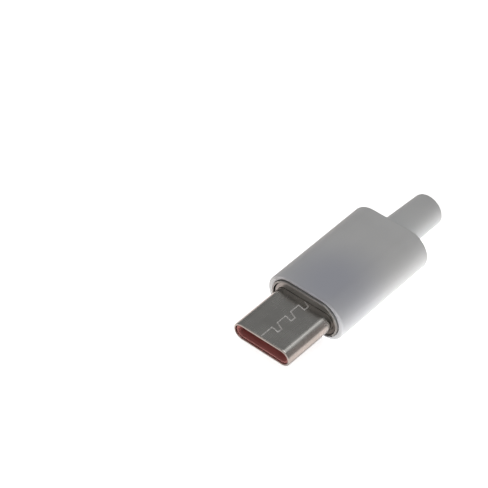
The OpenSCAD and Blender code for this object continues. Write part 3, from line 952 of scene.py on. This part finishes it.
class CABLEPLUG_OT_stage(bpy.types.Operator):
    """Lays the pale floor, hangs the soft lamps and sets the camera"""

    bl_idname = "cableplug.stage"
    bl_label = "Floor, lamps and camera"

    def execute(self, context):
        s = context.scene.plug_stage
        self.floor(s)
        self.world(context.scene, s)
        self.lamp("overhead_box", s.overhead, way=(0.1, -0.05, 1.0), size=(0.35, 0.35))
        self.lamp("strip_lamp", s.strip, way=(0.12, 0.5455, 0.83), size=(0.2, 0.3))
        unseen = [
            self.lamp("table_lamp", s.table, way=(0.2, -0.1, -1.0), size=(0.8, 0.8), distance=0.12),
            self.lamp("side_lamp", s.side, way=(0.68, -0.2, -0.7), size=(0.5, 0.5)),
            self.lamp("front_lamp", s.front, way=(-0.1, -1.0, -1.0), size=(0.5, 0.5)),
            self.lamp("left_lamp", s.left, way=(-0.93, -0.1, 0.2), size=(0.5, 0.3)),
        ]
        # These light the plug and don't show as bright squares in the metal
        for holder in unseen:
            holder.visible_glossy = False
            holder.data.cycles.use_multiple_importance_sampling = False
        self.camera(context.scene, s)
        context.scene.view_settings.view_transform = "Standard"
        return {"FINISHED"}

    def floor(self, s):
        """Pale paper that keeps the plug's shadow and shows white to the camera."""
        bm = bmesh.new()
        bmesh.ops.create_grid(bm, x_segments=2, y_segments=2, size=s.floor / 2)
        floor = to_object(bm, "floor")
        f = new_finish("pale_floor")
        fibre = f.noise(f.place(), scale=900.0, detail=2.0)
        paper = f.node(
            "ShaderNodeBsdfDiffuse", inputs={"Color": f.mix(fibre, grey(0.9), grey(0.93))}
        )
        seen = (f.ray("Camera") + f.ray("Transmission")).held()
        white = f.mix(seen, grey(0.0), grey(s.paper))
        # Rays from metal see the painted warm reflection and the painted shadow instead of the
        # white
        own_light = f.mix(f.ray("Glossy"), white, self.painted_floor_reflection(f, s))
        glow = f.node("ShaderNodeEmission", inputs={"Color": own_light, "Strength": 1.0})
        both = f.node("ShaderNodeAddShader", inputs={0: paper, 1: glow})
        f.node("ShaderNodeOutputMaterial", inputs={"Surface": both})
        floor.visible_shadow = False
        floor.data.materials.append(f.owner)

    def painted_floor_reflection(self, f, s):
        """What metal shows of the floor: a painted warm reflection near the plug and a painted
        shadow right under it.
        """
        x, y, _ = f.axes(f.place())
        near = 1.0 - f.ramp((x * x + y * y) ** 0.5, SHEEN_FULL, SHEEN_GONE)
        # Painted shadow: for metal the floor turns dark right under the plug
        past = (abs(x) - SHADOW_HALF_WIDTH).at_least(0.0)
        ahead = (abs(y) - SHADOW_HALF_LENGTH).at_least(0.0)
        painted_shadow = 1.0 - f.ramp((past * past + ahead * ahead) ** 0.5, 0.0, SHADOW_BORDER)
        return f.mix(near - painted_shadow * 0.9, rgba(s.sheen, 0.1), rgba(s.sheen))

    def world(self, scene, s):
        """A dim tent with two warm patches, which the camera sees as white."""
        world = bpy.data.worlds.new("tent")
        scene.world = world
        f = Finish(world)
        x, y, _ = f.axes(f.node("ShaderNodeTexCoord", output="Generated"))
        beside = f.ramp(x, *RIGHT_PATCH_X) * f.ramp(y, *RIGHT_PATCH_Y)
        tent = f.mix(beside, grey(s.tent), rgba(s.tent_right))
        tent = f.mix(f.ramp(-1.0 * y, *FRONT_PATCH), tent, rgba(s.tent_front))
        lit = f.node("ShaderNodeBackground", inputs={"Color": tent, "Strength": 1.0})
        white = f.node("ShaderNodeBackground", inputs={"Color": grey(1.0), "Strength": 1.0})
        both = f.node("ShaderNodeMixShader", inputs={0: f.ray("Camera"), 1: lit, 2: white})
        f.node("ShaderNodeOutputWorld", inputs={"Surface": both})

    def lamp(self, name, brightness, way, size, distance=0.5):
        """A flat lamp that shines at the plug, with its brightness as seen from there."""
        data = bpy.data.lights.new(name, "AREA")
        data.shape = "RECTANGLE"
        data.size, data.size_y = size
        data.energy = brightness * math.pi * size[0] * size[1]
        holder = bpy.data.objects.new(name, data)
        bpy.context.scene.collection.objects.link(holder)
        outward = Vector(way).normalized()
        turn = outward.to_track_quat("Z", "Y").to_matrix().to_4x4()
        holder.matrix_world = Matrix.Translation(outward * distance) @ turn
        return holder

    def camera(self, scene, s):
        """The camera, turned at its aim and moved back from it."""
        data = bpy.data.cameras.new("camera")
        data.lens = s.lens
        data.sensor_width = 36.0
        data.clip_start = 0.005
        holder = bpy.data.objects.new("camera", data)
        scene.collection.objects.link(holder)
        tilt = Matrix.Rotation(math.pi / 2 - s.elevation, 4, "X")
        turn = Matrix.Rotation(s.azimuth, 4, "Z") @ tilt
        back = turn @ Vector((0.0, 0.0, s.distance))
        holder.matrix_world = Matrix.Translation(Vector(s.aim) + back) @ turn
        scene.camera = holder


STEPS = (
    CABLEPLUG_OT_hood,
    CABLEPLUG_OT_tube,
    CABLEPLUG_OT_insert,
    CABLEPLUG_OT_shield,
    CABLEPLUG_OT_inside,
    CABLEPLUG_OT_stage,
)
SETTINGS = {
    "plug_hood": HoodSettings,
    "plug_tube": TubeSettings,
    "plug_insert": InsertSettings,
    "plug_shield": ShieldSettings,
    "plug_inside": InsideSettings,
    "plug_stage": StageSettings,
}


class CABLEPLUG_PT_sidebar(bpy.types.Panel):
    """Lists the pieces of the plug and its stage"""

    bl_label = "Cable Plug"
    bl_idname = "CABLEPLUG_PT_sidebar"
    bl_space_type = "VIEW_3D"
    bl_region_type = "UI"
    bl_category = "Cable Plug"

    def draw(self, context):
        for step, key in zip(STEPS, SETTINGS):
            group = getattr(context.scene, key)
            box = self.layout.box()
            box.operator(step.bl_idname)
            for name in group.__annotations__:
                box.prop(group, name)


CLASSES = (*SETTINGS.values(), *STEPS, CABLEPLUG_PT_sidebar)


def register():
    for cls in CLASSES:
        bpy.utils.register_class(cls)
    for key, group in SETTINGS.items():
        setattr(bpy.types.Scene, key, PointerProperty(type=group))


def unregister():
    for key in SETTINGS:
        delattr(bpy.types.Scene, key)
    for cls in reversed(CLASSES):
        bpy.utils.unregister_class(cls)


def main():
    register()
    bpy.ops.cableplug.hood()
    bpy.ops.cableplug.tube()
    bpy.ops.cableplug.insert()
    bpy.ops.cableplug.shield()
    bpy.ops.cableplug.inside()
    bpy.ops.cableplug.stage()
    bpy.context.view_layer.update()


if __name__ == "__main__":
    main()
